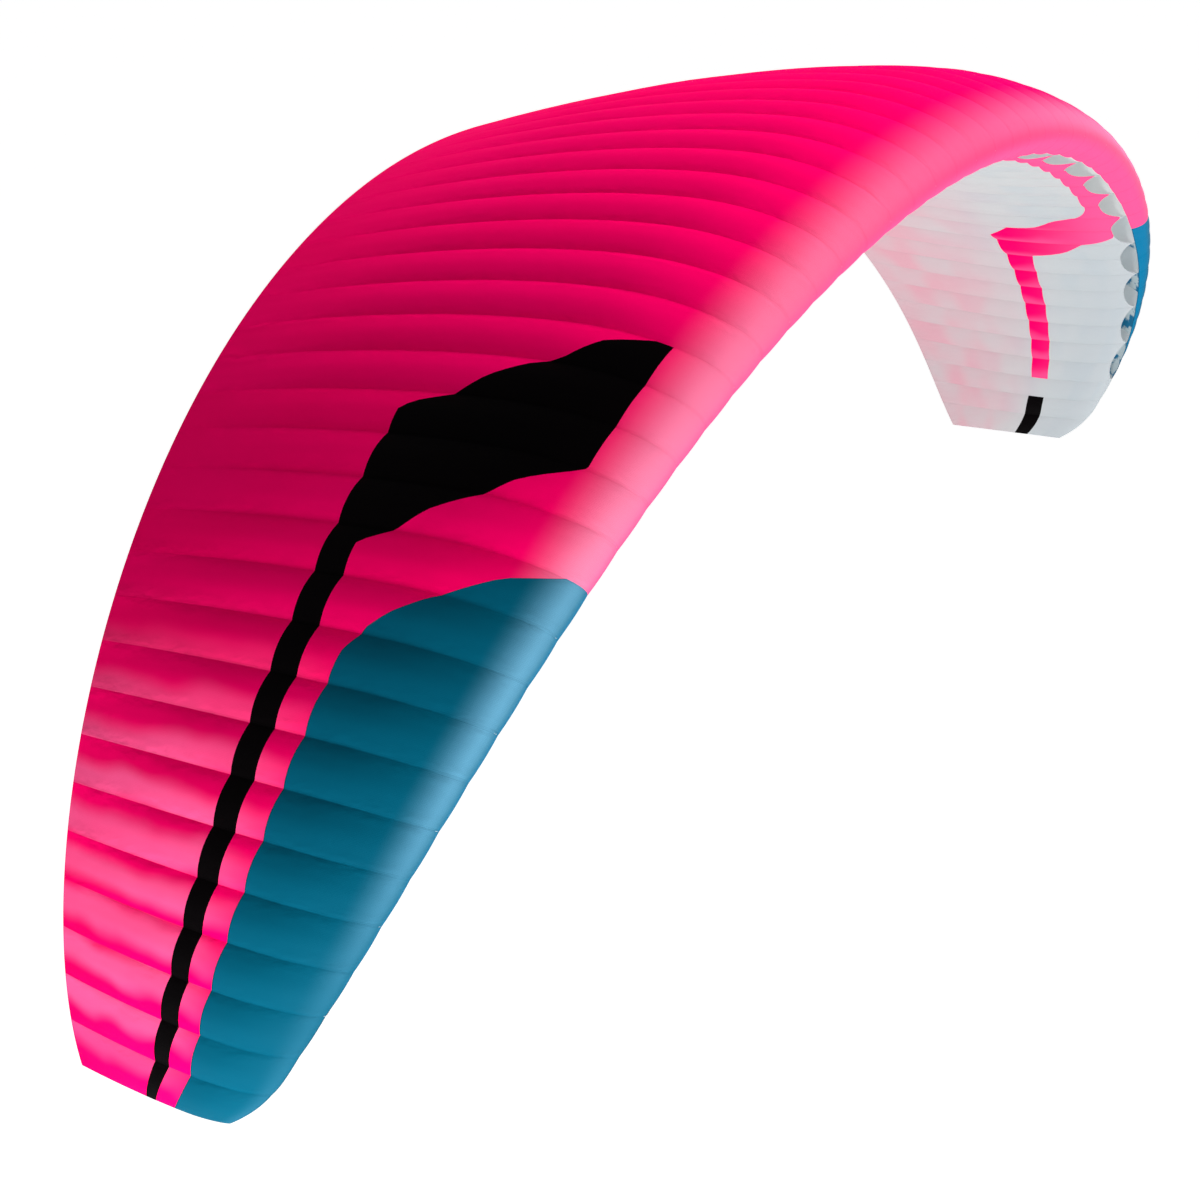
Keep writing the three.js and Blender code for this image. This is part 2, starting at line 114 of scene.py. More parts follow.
@dataclass(frozen=True)
class WingShape:
    """The formula of the wing's surface, the same one that its solids follow."""

    cells: int = 55
    half_span: float = 5.75
    rib_crowding: float = 0.058
    arch_roll: float = 1.38
    arch_even_share: float = 0.75
    arch_power: float = 3.35
    root_chord: float = 3.015
    tip_chord_ratio: float = 0.306
    chord_power: float = 1.363
    centre_rounding: float = 0.15
    even_sweep: float = 0.723
    tip_sweep: float = 0.475
    tip_sweep_power: float = 5.43
    tip_cut: float = 0.094
    tip_cut_from: float = 0.955
    thickness: float = 0.1515
    terms: tuple[float, ...] = (0.2969, -0.126, -0.3516, 0.2843, -0.1036)
    terms_thickness: float = 0.2
    nose_rounding: float = 1.4845
    camber: float = 0.022
    camber_at: float = 0.25
    closed_from: float = 24.5
    tip_thickness_ratio: float = 0.35
    tip_thickness_power: float = 1.5
    edge_half: float = 0.00215
    top_bulge: float = 0.09
    lower_bulge: float = 0.07
    arch_steps: int = 2000
    normal_step: float = 1e-3
    rib_tolerance: float = 1e-9

    @property
    def half_cells(self) -> float:
        """Cell coordinate of the wing tip."""
        return self.cells / 2

    def span_fraction(self, cell: np.ndarray) -> np.ndarray:
        """Fraction of the half span at a cell coordinate, with its sign."""
        q = cell / self.half_cells
        return (1 + self.rib_crowding) * q - self.rib_crowding * q**3

    def roll(self, u: np.ndarray) -> np.ndarray:
        """How far the sections are rolled outwards.

        Args:
            u: Span fractions.

        Returns:
            Angles in radians, with the sign of the half.
        """
        even = self.arch_even_share * np.abs(u)
        late = (1 - self.arch_even_share) * np.abs(u) ** self.arch_power
        return np.sign(u) * self.arch_roll * (even + late)

    def arch(self, u: np.ndarray) -> tuple[np.ndarray, np.ndarray]:
        """The line of the arch, summed from short steps that follow the roll.

        Args:
            u: Span fractions.

        Returns:
            X and Z of the line.
        """
        middle = (np.arange(self.arch_steps) + 0.5) / self.arch_steps
        step = self.half_span / self.arch_steps
        at = np.arange(self.arch_steps + 1) / self.arch_steps
        x = np.concatenate([[0], np.cumsum(step * np.cos(self.roll(middle)))])
        z = np.concatenate([[0], np.cumsum(-step * np.sin(self.roll(middle)))])
        return np.sign(u) * np.interp(np.abs(u), at, x), np.interp(np.abs(u), at, z)

    def cut(self, u: np.ndarray) -> np.ndarray:
        """How far the tip's front corner is rounded off."""
        share = np.maximum(0, (np.abs(u) - self.tip_cut_from) / (1 - self.tip_cut_from))
        return self.tip_cut * share**2

    def chord(self, u: np.ndarray) -> np.ndarray:
        """Chords of the sections, which shrink towards the tips.

        Args:
            u: Span fractions.

        Returns:
            Lengths in metres.
        """
        rounded = (u * u + self.centre_rounding**2) ** (self.chord_power / 2)
        least = self.centre_rounding**self.chord_power
        most = (1 + self.centre_rounding**2) ** (self.chord_power / 2)
        shrinkage = (rounded - least) / (most - least)
        square = 1 - (1 - self.tip_chord_ratio**2) * shrinkage
        return self.root_chord * np.sqrt(square) - self.cut(u)

    def setback(self, u: np.ndarray) -> np.ndarray:
        """How far aft the sections' noses stand at span fractions."""
        late = self.tip_sweep * np.abs(u) ** self.tip_sweep_power
        return self.even_sweep * u**2 + late + self.cut(u)

    def thinning(self, cell: np.ndarray) -> np.ndarray:
        """How much thinner the sections are near the closed tips.

        Args:
            cell: Cell coordinates.

        Returns:
            The share of the thickness that is left.
        """
        span = self.half_cells - self.closed_from
        inside = np.maximum(0, (np.abs(cell) - self.closed_from) / span)
        return 1 - (1 - self.tip_thickness_ratio) * inside**self.tip_thickness_power

    def section(self, cell: np.ndarray, row: np.ndarray) -> tuple[np.ndarray, np.ndarray]:
        """Points of the sections, each in its own plane.

        Args:
            cell: Cell coordinates.
            row: Row coordinates.

        Returns:
            How far aft and how far outwards from the arch's line the points lie.
        """
        length = self.chord(self.span_fraction(cell))
        x = row * row
        powers = (np.abs(row), x, x**2, x**3, x**4)
        swell = sum(term * power for term, power in zip(self.terms, powers))
        half = self.thickness / self.terms_thickness * swell * length * self.thinning(cell)
        p = self.camber_at
        fore = self.camber / p**2 * (2 * p * x - x * x)
        aft = self.camber / (1 - p) ** 2 * (1 - 2 * p + 2 * p * x - x * x)
        mean = np.where(x < p, fore, aft)
        out = mean * length + np.sign(row) * half + self.edge_half * row * np.abs(row)
        return self.setback(self.span_fraction(cell)) + x * length, out

    def lifted(self, cell: np.ndarray, aft: np.ndarray, out: np.ndarray) -> np.ndarray:
        """Points of the sections' planes, placed in the frame.

        Args:
            cell: Cell coordinates.
            aft: How far aft the points lie.
            out: How far outwards from the arch's line they lie.

        Returns:
            The points, one in each row of the array.
        """
        u = self.span_fraction(cell)
        x, z = self.arch(u)
        roll = self.roll(u)
        return np.stack([x + out * np.sin(roll), aft, z + out * np.cos(roll)], axis=-1)

    def surface(self, cell: np.ndarray, row: np.ndarray) -> np.ndarray:
        """Points on the line of the ribs' edges, placed in the frame."""
        return self.lifted(cell, *self.section(cell, row))

    def normal(self, cell: np.ndarray, row: np.ndarray) -> np.ndarray:
        """Outward normals of the surface.

        Args:
            cell: Cell coordinates.
            row: Row coordinates.

        Returns:
            Unit vectors, one in each row of the array.
        """
        step, most = self.normal_step, self.half_cells
        outer, inner = np.minimum(cell + step, most), np.maximum(cell - step, -most)
        span = self.surface(outer, row) - self.surface(inner, row)
        run = self.surface(cell, np.minimum(row + step, 1)) - self.surface(cell, np.maximum(row - step, -1))
        out = np.cross(span, run)
        return out / np.linalg.norm(out, axis=-1, keepdims=True)

    def cell_width(self, cell: np.ndarray) -> np.ndarray:
        """Widths, laid flat, of the cells that the coordinates lie in.

        Args:
            cell: Cell coordinates.

        Returns:
            Widths in metres.
        """
        inner = np.floor(np.abs(cell) + 0.5 - self.rib_tolerance) - 0.5
        outer = self.span_fraction(inner + 1) - self.span_fraction(inner)
        return self.half_span * np.abs(outer)

    def cloth_run(self, cell: np.ndarray, row: np.ndarray) -> np.ndarray:
        """Distances along the cloth from the nose line.

        Args:
            cell: Cell coordinates.
            row: Row coordinates.

        Returns:
            Distances in metres, with the sign of the row.
        """
        nose = self.nose_rounding * self.thickness
        root = np.sqrt(4 * row**2 + nose**2)
        run = row / 2 * root + nose**2 / 4 * np.arcsinh(2 * row / nose)
        return run * self.chord(self.span_fraction(cell))


@dataclass(frozen=True)
class Ballooning:
    """How far the filled cells stand over the line of their ribs."""

    shape: WingShape
    rows: tuple[float, ...] = (-1, -0.9, -0.7, -0.35, -0.1, 0.1, 0.45, 0.8, 1)
    shares: tuple[float, ...] = (0, 0.6, 1, 0.8, 0.2, 0.16, 1, 0.8, 0)
    fullness: float = 1.25

    def lift(self, cell: np.ndarray, row: np.ndarray) -> np.ndarray:
        """Height of the cloth over its ribs, a parabola across each cell.

        Args:
            cell: Cell coordinates.
            row: Row coordinates.

        Returns:
            Heights in metres along the surface's normal.
        """
        across = (cell + self.shape.half_cells) % 1.0
        height = np.where(row > 0, self.shape.top_bulge, self.shape.lower_bulge)
        share = np.interp(row, self.rows, self.shares)
        width = self.shape.cell_width(cell)
        return height * width * share * self.fullness * 4 * across * (1 - across)


# ---- How the cloth is cut ----------------------------------------------------------------


@dataclass(frozen=True)
class CutLine:
    """A seam or free edge of the cloth, as rows at cell coordinates of one half."""

    points: tuple[tuple[float, float], ...]

    def __call__(self, cell: np.ndarray) -> np.ndarray:
        """Row of the line at each cell coordinate, the same on both halves."""
        cells, rows = zip(*self.points)
        return np.interp(np.abs(cell), cells, rows)


def underneath(line: Curve) -> Curve:
    """The same line on the lower skin, where rows are negative."""
    return lambda cell: -line(cell)


@dataclass(frozen=True)
class Pattern:
    """The wing's seams and edges, from which every panel is cut."""

    black_from: float = 10.5
    blue_from: float = 15.5
    lower_pink_to: float = 24.5
    lower_black_from: float = 25.5
    last_mouth_cell: float = 24.5
    lip: CutLine = CutLine(
        ((0, 0.215), (12.5, 0.213), (14.5, 0.2), (16.5, 0.182), (18.5, 0.152), (20.5, 0.127),
         (22.5, 0.085), (24.5, 0.01), (27.5, 0.0))
    )
    mouth_bottom: CutLine = CutLine(
        ((0, 0.33), (13.5, 0.31), (15.5, 0.297), (17.5, 0.275), (19.5, 0.252), (21.5, 0.223),
         (24.5, 0.18))
    )
    blue_rear: CutLine = CutLine(
        ((15.5, 0.15), (15.71, 0.24), (15.91, 0.32), (16.26, 0.388), (16.6, 0.453), (17.02, 0.51),
         (17.37, 0.545), (17.85, 0.566), (18.4, 0.571), (27.5, 0.565))
    )
    black_front: CutLine = CutLine(
        ((10.5, 0.29), (13.46, 0.288), (13.66, 0.323), (13.93, 0.38), (14.14, 0.418), (14.41, 0.45),
         (14.68, 0.492), (15.02, 0.54), (15.43, 0.578), (15.84, 0.633), (25.4, 0.64), (27.5, 0.667))
    )
    black_rear: CutLine = CutLine(
        ((10.5, 0.335), (10.58, 0.357), (10.85, 0.423), (11.38, 0.475), (11.65, 0.525), (12.05, 0.575),
         (12.52, 0.617), (12.79, 0.667), (12.99, 0.683), (24.5, 0.693), (26.4, 0.708), (27.5, 0.715))
    )
    lower_band_front: CutLine = CutLine(
        ((15.5, 0.24), (15.91, 0.302), (16.19, 0.358), (16.53, 0.432), (16.95, 0.488), (17.23, 0.55),
         (17.37, 0.587), (18.5, 0.59), (21.3, 0.578), (24.3, 0.56), (25.5, 0.56), (27.5, 0.547))
    )
    lower_band_rear: CutLine = CutLine(
        ((0, 0.37), (13.66, 0.365), (13.93, 0.378), (14.48, 0.42), (14.68, 0.49), (15.16, 0.545),
         (15.5, 0.62), (15.98, 0.665), (17.4, 0.655), (20.7, 0.645), (24.3, 0.63), (27.5, 0.645))
    )

    def lower_front(self, cell: np.ndarray) -> np.ndarray:
        """Front edge of the lower skin, with the round bottoms of the mouths.

        The centre mouth is one cell wide and each of the others two.

        Args:
            cell: Cell coordinates.

        Returns:
            Rows of the edge, as positive numbers.
        """
        away = np.abs(cell)
        single = away <= 0.5
        nearest = 1.5 + 2 * np.round((away - 1.5) / 2)
        centre = np.where(single, 0.0, np.maximum(nearest, 1.5))
        half = np.where(single, 0.5, 1.0)
        across = np.clip((away - centre) / half, -1, 1)
        deep = self.lip(cell) + (self.mouth_bottom(cell) - self.lip(cell)) * np.sqrt(1 - across**2)
        return np.where(away < self.last_mouth_cell, deep, self.lip(cell))

    def band_front(self, cell: np.ndarray) -> np.ndarray:
        """Front edge of the lower skin's pink band, which the mouths may cut into."""
        return np.maximum(self.lower_band_front(cell), self.lower_front(cell))

    def top_lines(self) -> list[Curve]:
        """The lines between the bands of the top skin, from the lip to the trailing edge."""
        return [underneath(self.lip), self.blue_rear, self.black_front, self.black_rear, np.ones_like]

    def lower_lines(self) -> list[Curve]:
        """The lines between the bands of the lower skin, from the front edge to the trailing edge."""
        lines = (self.lower_front, self.band_front, self.lower_band_rear, np.ones_like)
        return [underneath(line) for line in lines]


@dataclass(frozen=True)
class Block:
    """A stretch of one band of the skin: the band's number and the cells that it covers."""

    band: int
    start: float
    end: float


@dataclass
class ClothGrid:
    """Lays a grid of cloth between cut lines and keeps the blocks that one panel has."""

    shape: WingShape
    lines: list[Curve]
    band_rows: tuple[int, ...]
    columns_per_cell: int = 12

    def columns(self, start: float, end: float) -> np.ndarray:
        """The grid's columns, closer together beside the ribs.

        Args:
            start: Cell coordinate of the first column.
            end: Cell coordinate of the last one.

        Returns:
            Cell coordinates of the columns.
        """
        inside = (1 - np.cos(np.pi * np.arange(self.columns_per_cell) / self.columns_per_cell)) / 2
        ribs = np.arange(start, end - 0.5)
        return np.append((ribs[:, None] + inside[None, :]).ravel(), end)

    def rows(self, columns: np.ndarray) -> tuple[np.ndarray, np.ndarray]:
        """The grid's rows, spread evenly between the cut lines.

        Args:
            columns: Cell coordinates of the columns.

        Returns:
            The row of every grid point, and the band that each strip of faces belongs to.
        """
        edges = [line(columns) for line in self.lines]
        strips, bands = [edges[0]], []
        for band, count in enumerate(self.band_rows):
            for k in range(1, count + 1):
                strips.append(edges[band] + (edges[band + 1] - edges[band]) * k / count)
                bands.append(band)
        return np.stack(strips, axis=1), np.array(bands)

    def build(self, blocks: Sequence[Block]) -> bmesh.types.BMesh:
        """A flat grid, cut to its blocks, whose vertices carry their cell and row.

        Args:
            blocks: The stretches of the skin that the panel covers.

        Returns:
            The mesh, with vertex layers cell and row, still flat.
        """
        columns = self.columns(min(b.start for b in blocks), max(b.end for b in blocks))
        rows, bands = self.rows(columns)
        counts = (len(columns) - 1, len(bands))
        bm = bmesh.new()
        bmesh.ops.create_grid(bm, x_segments=counts[0], y_segments=counts[1], size=1.0)
        kept = np.zeros(counts, bool)
        middle = (columns[1:] + columns[:-1]) / 2
        for block in blocks:
            inside = (middle > block.start) & (middle < block.end)
            kept |= inside[:, None] & (bands == block.band)[None, :]
        unwanted = []
        for face in bm.faces:
            i, j = self._grid_place(face.calc_center_median(), counts)
            if not kept[int(i), int(j)]:
                unwanted.append(face)
        bmesh.ops.delete(bm, geom=unwanted, context="FACES")
        cell_layer = bm.verts.layers.float.new("cell")
        row_layer = bm.verts.layers.float.new("row")
        for vertex in bm.verts:
            i, j = (round(x) for x in self._grid_place(vertex.co, counts))
            vertex[cell_layer] = columns[i]
            vertex[row_layer] = rows[i, j]
        return bm

    def _grid_place(self, point: Vector, counts: tuple[int, int]) -> tuple[float, float]:
        """Column and row of a point of the flat grid, which runs from -1 to 1 both ways."""
        return (point.x + 1) / 2 * counts[0], (point.y + 1) / 2 * counts[1]


# ---- Shader maths ------------------------------------------------------------------------

SocketLike = Union["Value", float]


class Value:
    """One shader value. Its operators add the Math nodes that they stand for."""

    def __init__(self, tree: "NodeTree", socket: bpy.types.NodeSocket | None) -> None:
        """Wraps a socket of a tree."""
        self.tree = tree
        self.socket = socket

    def _with(self, operation: str, *others: SocketLike) -> "Value":
        """The value of a Math node on this one and others."""
        sockets = dict(enumerate((self, *others)))
        return self.tree.add("ShaderNodeMath", {"operation": operation}, sockets)

    def __add__(self, other: SocketLike) -> "Value":
        """Sum."""
        return self._with("ADD", other)

    __radd__ = __add__

    def __mul__(self, other: SocketLike) -> "Value":
        """Product."""
        return self._with("MULTIPLY", other)

    __rmul__ = __mul__

    def __sub__(self, other: SocketLike) -> "Value":
        """Difference."""
        return self._with("SUBTRACT", other)

    def __rsub__(self, other: SocketLike) -> "Value":
        """Difference from a number."""
        return self * -1 + other

    def absolute(self) -> "Value":
        """Absolute value."""
        return self._with("ABSOLUTE")

    def floor(self) -> "Value":
        """Whole part."""
        return self._with("FLOOR")

    def least(self, other: SocketLike) -> "Value":
        """The smaller of two values."""
        return self._with("MINIMUM", other)

    def most(self, other: SocketLike) -> "Value":
        """The larger of two values."""
        return self._with("MAXIMUM", other)

    def clamped(self) -> "Value":
        """The value kept between 0 and 1."""
        return self.least(1.0).most(0.0)

    def to_nearest(self, pitch: float) -> "Value":
        """Distance to the nearest multiple of a pitch."""
        return self._with("PINGPONG", pitch / 2)

    def ramp(self, start: float, end: float) -> "Value":
        """Smooth rise, or the fall where end is the lower.

        Args:
            start: Where the result is 0.
            end: Where it is 1.

        Returns:
            A value from 0 to 1.
        """
        low, high = sorted((start, end))
        ends = (0.0, 1.0) if start < end else (1.0, 0.0)
        sockets = dict(enumerate((self, low, high, *ends)))
        return self.tree.add("ShaderNodeMapRange", {"interpolation_type": "SMOOTHSTEP"}, sockets)


class NodeTree:
    """Adds nodes to a material, each by one call."""

    def __init__(self, name: str) -> None:
        """Starts an empty material.

        Args:
            name: The material's name.
        """
        self.material = bpy.data.materials.new(name)
        self.material.use_nodes = True
        self.nodes = self.material.node_tree.nodes
        self.links = self.material.node_tree.links
        self.nodes.clear()

    def add(self, kind: str, settings: dict, sockets: dict, output: int | str = 0) -> Value:
        """Adds one node.

        Args:
            kind: The node's type.
            settings: The node's own settings, set first.
            sockets: Values or links of its inputs, by name or number.
            output: The output that is returned.

        Returns:
            The output, as a value, which is empty for a node without outputs.
        """
        node = self.nodes.new(kind)
        for key, setting in settings.items():
            setattr(node, key, setting)
        for key, given in sockets.items():
            if isinstance(given, Value):
                self.links.new(given.socket, node.inputs[key])
            else:
                node.inputs[key].default_value = given
        return Value(self, node.outputs[output] if len(node.outputs) else None)

    def colour(self, factor: SocketLike, first: Value | Colour, second: Value | Colour) -> Value:
        """Colour between two colours."""
        return self.add("ShaderNodeMix", {"data_type": "RGBA"}, {0: factor, 6: first, 7: second}, output=2)

    def uv(self, name: str) -> Value:
        """A UV map of the piece."""
        return self.add("ShaderNodeUVMap", {"uv_map": name}, {})

    def part(self, vector: Value, number: int) -> Value:
        """One part of a vector."""
        return self.add("ShaderNodeSeparateXYZ", {}, {0: vector}, output=number)

    def pair(self, first: SocketLike, second: SocketLike) -> Value:
        """A vector of two values."""
        return self.add("ShaderNodeCombineXYZ", {}, {0: first, 1: second})

    def noise(self, place: Value, scale: float, detail: float, roughness: float) -> Value:
        """Flat noise, about 0.5 on average."""
        sockets = {"Vector": place, "Scale": scale, "Detail": detail, "Roughness": roughness}
        return self.add("ShaderNodeTexNoise", {"noise_dimensions": "2D"}, sockets)

    def bump(self, height: Value, distance: float = 1.0, strength: float = 1.0) -> Value:
        """The normal that a height gives."""
        sockets = {"Strength": strength, "Distance": distance, "Height": height}
        return self.add("ShaderNodeBump", {}, sockets)

    def principled(self, sockets: dict) -> bpy.types.Material:
        """Ends the material with one Principled shader.

        Args:
            sockets: Values or links of the shader's inputs, by name.

        Returns:
            The finished material.
        """
        shader = self.add("ShaderNodeBsdfPrincipled", {}, sockets)
        self.add("ShaderNodeOutputMaterial", {}, {"Surface": shader})
        return self.material


def linear(red: int, green: int, blue: int) -> Colour:
    """Linear colour of an 8-bit screen colour, by the sRGB formula."""
    shares = (red / 255, green / 255, blue / 255)
    return (*(s / 12.92 if s <= 0.04045 else ((s + 0.055) / 1.055) ** 2.4 for s in shares), 1.0)


# ---- Finishes ----------------------------------------------------------------------------


@dataclass(frozen=True)
class Place:
    """Where a point of the cloth lies, and how cloudy the cloth is there."""

    cell: Value
    row: Value
    cloud: Value


@dataclass(frozen=True)
class CellNoise:
    """Patchy noise that starts anew in every cell."""

    jump: float
    across: float
    along: float
    scale: float = 1.0
    detail: float = 1.0
    roughness: float = 0.4

    def build(self, t: NodeTree, number: Value, across: Value, along: Value) -> Value:
        """The noise, about 0.5 on average."""
        place = t.pair(number * self.jump + across * self.across, along * self.along)
        return t.noise(place, self.scale, self.detail, self.roughness)


@dataclass(frozen=True)
class PaintedNoseHighlight:
    """Painted highlight along the nose, brightest between the centre and the tips."""

    colour: Colour
    rows: Stretch = (0.32, 0.12)
    at_centre: float = 0.42
    full_from: float = 16.0
    at_tip: float = 1.0
    tip_cells: Stretch = (17.0, 25.0)
    beneath: float = 1.0
    beneath_rows: Stretch = (-0.04, 0.1)

    def lay(self, t: NodeTree, colour: Value, at: Place) -> Value:
        """Lays the painted highlight over the cloth's colour.

        Args:
            t: The cloth's node tree.
            colour: The colour so far.
            at: The place on the cloth.

        Returns:
            The colour with the painted highlight.
        """
        away = at.cell.absolute()
        towards_tip = away.ramp(*self.tip_cells) * (1 - self.at_tip)
        along = away.ramp(0.0, self.full_from) * (1 - self.at_centre) + self.at_centre - towards_tip
        beneath = at.row.ramp(*self.beneath_rows) * (1 - self.beneath) + self.beneath
        share = at.row.absolute().ramp(*self.rows) * beneath * along
        return t.colour(share.clamped(), colour, self.colour)


@dataclass(frozen=True)
class PaintedUnderHighlight:
    """Painted highlight underneath, between the nose and the rear of the coloured bands."""

    colour: Colour
    nose_rows: Stretch = (0.04, -0.1)
    rear_rows: Stretch = (-0.64, -0.3)

    def lay(self, t: NodeTree, colour: Value, at: Place) -> Value:
        """Lays the painted highlight over the cloth's colour."""
        share = at.row.ramp(*self.nose_rows) * at.row.ramp(*self.rear_rows)
        return t.colour(share, colour, self.colour)


@dataclass(frozen=True)
class PaintedCellLight:
    """Painted light on the aft cloth near the tips, on one side of each cell.

    On top, the painted light lies at a cell's outer rib and drifts to its inner rib at the tip.
    """

    colour: Colour
    ragged: CellNoise = CellNoise(jump=5.3, across=0.6, along=8.0)
    top_ragged: float = 0.5
    top_place: float = 0.9
    top_half: Stretch = (0.55, 0.12)
    top_rows: Stretch = (0.48, 0.72)
    top_cells: Stretch = (17.5, 22.0)
    top_least: float = 0.55
    top_clouding: float = 0.6
    drift: float = 0.8
    drift_cells: Stretch = (20.0, 27.5)
    tip_cells: Stretch = (26.0, 28.0)
    tip_loss: float = 0.6
    lower_ragged: float = 0.8
    lower_place: Stretch = (0.3, 0.9)
    lower_rows: Stretch = (-0.4, -0.56)
    lower_cells: Stretch = (13.0, 17.0)
    lower_amount: float = 0.55

    def lay(self, t: NodeTree, colour: Value, at: Place) -> Value:
        """Lays the painted light over the cloth's colour.

        Args:
            t: The cloth's node tree.
            colour: The colour so far.
            at: The place on the cloth.

        Returns:
            The colour with the thin places.
        """
        away = at.cell.absolute() + 0.5
        number = away.floor()
        part = away - number
        ragged = self.ragged.build(t, number, away, at.row) - 0.5
        drift = away.ramp(*self.drift_cells) * self.drift
        # Painted light on the outer side of each top cell, drifting inwards at the tip.
        lit_side = (part + ragged * self.top_ragged + drift - self.top_place).absolute().ramp(*self.top_half)
        reach = away.ramp(*self.top_cells) * (1 - away.ramp(*self.tip_cells) * self.tip_loss)
        amount = at.cloud * self.top_clouding + self.top_least
        over = lit_side * reach * at.row.ramp(*self.top_rows) * amount
        outer = (part + ragged * self.lower_ragged).ramp(*self.lower_place)
        reach = away.ramp(*self.lower_cells) * self.lower_amount
        under = outer * reach * at.row.ramp(*self.lower_rows)
        return t.colour((over + under).clamped(), colour, self.colour)


@dataclass(frozen=True)
class LightThrough:
    """Light through the lower skin, warm aft and cool towards the nose and the tips."""

    warm: Colour
    cool: Colour
    patches: CellNoise = CellNoise(jump=3.7, across=0.25, along=9.0)
    warm_rows: Stretch = (-0.5, -0.95)
    warm_amount: float = 0.85
    warm_patches: Stretch = (0.3, 0.7)
    warm_patch_share: float = 0.45
    warm_less: float = 0.02
    cool_rows: Stretch = (-0.75, -0.35)
    cool_cells: Stretch = (8.0, 20.0)
    cool_amount: float = 0.55
    cool_patches: Stretch = (0.45, 0.7)
    cool_patch_share: float = 0.35

    def lay(self, t: NodeTree, colour: Value, at: Place) -> Value:
        """Lays the light over the cloth's colour.

        Args:
            t: The cloth's node tree.
            colour: The colour so far.
            at: The place on the cloth.

        Returns:
            The colour with the light.
        """
        patch = self.patches.build(t, (at.cell + 0.5).floor(), at.cell, at.row)
        warmth = at.cloud + patch.ramp(*self.warm_patches) * self.warm_patch_share - self.warm_less
        aft = at.row.ramp(*self.warm_rows) * warmth.clamped()
        front = at.row.ramp(*self.cool_rows) * at.cell.absolute().ramp(*self.cool_cells)
        mild = t.colour(patch.ramp(*self.cool_patches) * self.cool_patch_share, colour, self.cool)
        warmed = t.colour(aft * self.warm_amount, mild, self.warm)
        return t.colour(front * self.cool_amount, warmed, self.cool)


Effect = PaintedNoseHighlight | PaintedUnderHighlight | PaintedCellLight | LightThrough


@dataclass(frozen=True)
class Ripstop:
    """Coated ripstop cloth: a fine square thread grid, stitched seams, puckers at the ribs, and painted
    light and painted seam shadow where set.
    """

    name: str
    base: Colour
    deep: Colour
    roughness: float = 0.42
    gloss: float = 0.5
    effects: tuple[Effect, ...] = ()
    # Painted shadow along the seams: its strength, and the distances over which it fades.
    painted_seam_shadow: float = 0.0
    painted_seam_shadow_edges: Stretch = (0.006, 0.001)
    cell_width: float = 0.2
    tint: float = 0.22
    clouding: float = 0.35
    wear_less: float = 0.12
    cloud_roughness: float = 0.12
    thread_pitch: float = 0.006
    thread_edges: Stretch = (0.00072, 0.000288)
    thread_shade: float = 0.1
    thread_roughness: float = 0.06
    tape_edges: Stretch = (0.009, 0.0063)
    tape_shade: float = 0.05
    tape_roughness: float = 0.1
    stitch_pitch: float = 0.006
    stitch_place: float = 0.00495
    stitch_edges: Stretch = (0.0011, 0.0006)
    stitch_ends: Stretch = (0.00096, 0.0018)
    puckers: CellNoise = CellNoise(jump=7.3, across=2.0, along=1.0, scale=9.0, detail=2.0, roughness=0.5)
    pucker_reach: float = 0.07
    pucker_depth: float = 0.006
    relief: float = 0.0002

    def build(self) -> bpy.types.Material:
        """Dyes and sews the cloth, and lays its painted light and painted seam shadow.

        Returns:
            The cloth's material.
        """
        t = NodeTree(self.name)
        cloth, place = t.uv("cloth"), t.uv("place")
        along, chordwise = t.part(cloth, 0), t.part(cloth, 1)
        cell, row = t.part(place, 0), t.part(place, 1)
        number = (cell + 0.5).floor()
        rib = (cell - 0.5).to_nearest(1.0) * self.cell_width
        seam = t.add("ShaderNodeAttribute", {"attribute_name": "seam"}, {}, output="Fac")
        threads = self._threads(along, chordwise)
        tape = (rib.ramp(*self.tape_edges) + seam.ramp(*self.tape_edges)).clamped()
        stitch = self._stitches(rib, chordwise).most(self._stitches(seam, along))
        tint = t.add("ShaderNodeTexWhiteNoise", {"noise_dimensions": "1D"}, {"W": number})
        cloud = t.noise(cloth, scale=1.3, detail=4.0, roughness=0.55)
        worn = tint * self.tint + cloud * self.clouding - self.wear_less
        colour = t.colour(worn.clamped(), self.base, self.deep)
        # The effects are painted light: highlights along the nose and underneath, light on one side of the
        # cells near the tips, and light through the lower skin.
        for effect in self.effects:
            colour = effect.lay(t, colour, Place(cell, row, cloud))
        shade = (threads + stitch) * self.thread_shade + tape * self.tape_shade
        colour = t.colour(shade.clamped(), colour, self.deep)
        # Painted shadow along the seams, darkening the cloth towards black near the seam.
        colour = t.colour(seam.ramp(*self.painted_seam_shadow_edges) * self.painted_seam_shadow, colour, BLACK)
        folds = self.puckers.build(t, number, rib, chordwise) * rib.ramp(self.pucker_reach, 0.0)
        height = (threads + tape + stitch) * self.relief + folds * self.pucker_depth
        uneven = threads * self.thread_roughness + (cloud - 0.5) * self.cloud_roughness
        return t.principled({
            "Base Color": colour, "Roughness": tape * self.tape_roughness + uneven + self.roughness,
            "Normal": t.bump(height), "Specular IOR Level": self.gloss,
        })

    def _threads(self, along: Value, chordwise: Value) -> Value:
        """The thicker threads of the ripstop grid."""
        first, second = along.to_nearest(self.thread_pitch), chordwise.to_nearest(self.thread_pitch)
        return first.ramp(*self.thread_edges).most(second.ramp(*self.thread_edges))

    def _stitches(self, distance: Value, along: Value) -> Value:
        """A row of short stitches beside a seam."""
        line = (distance - self.stitch_place).absolute().ramp(*self.stitch_edges)
        return line * along.to_nearest(self.stitch_pitch).ramp(*self.stitch_ends)


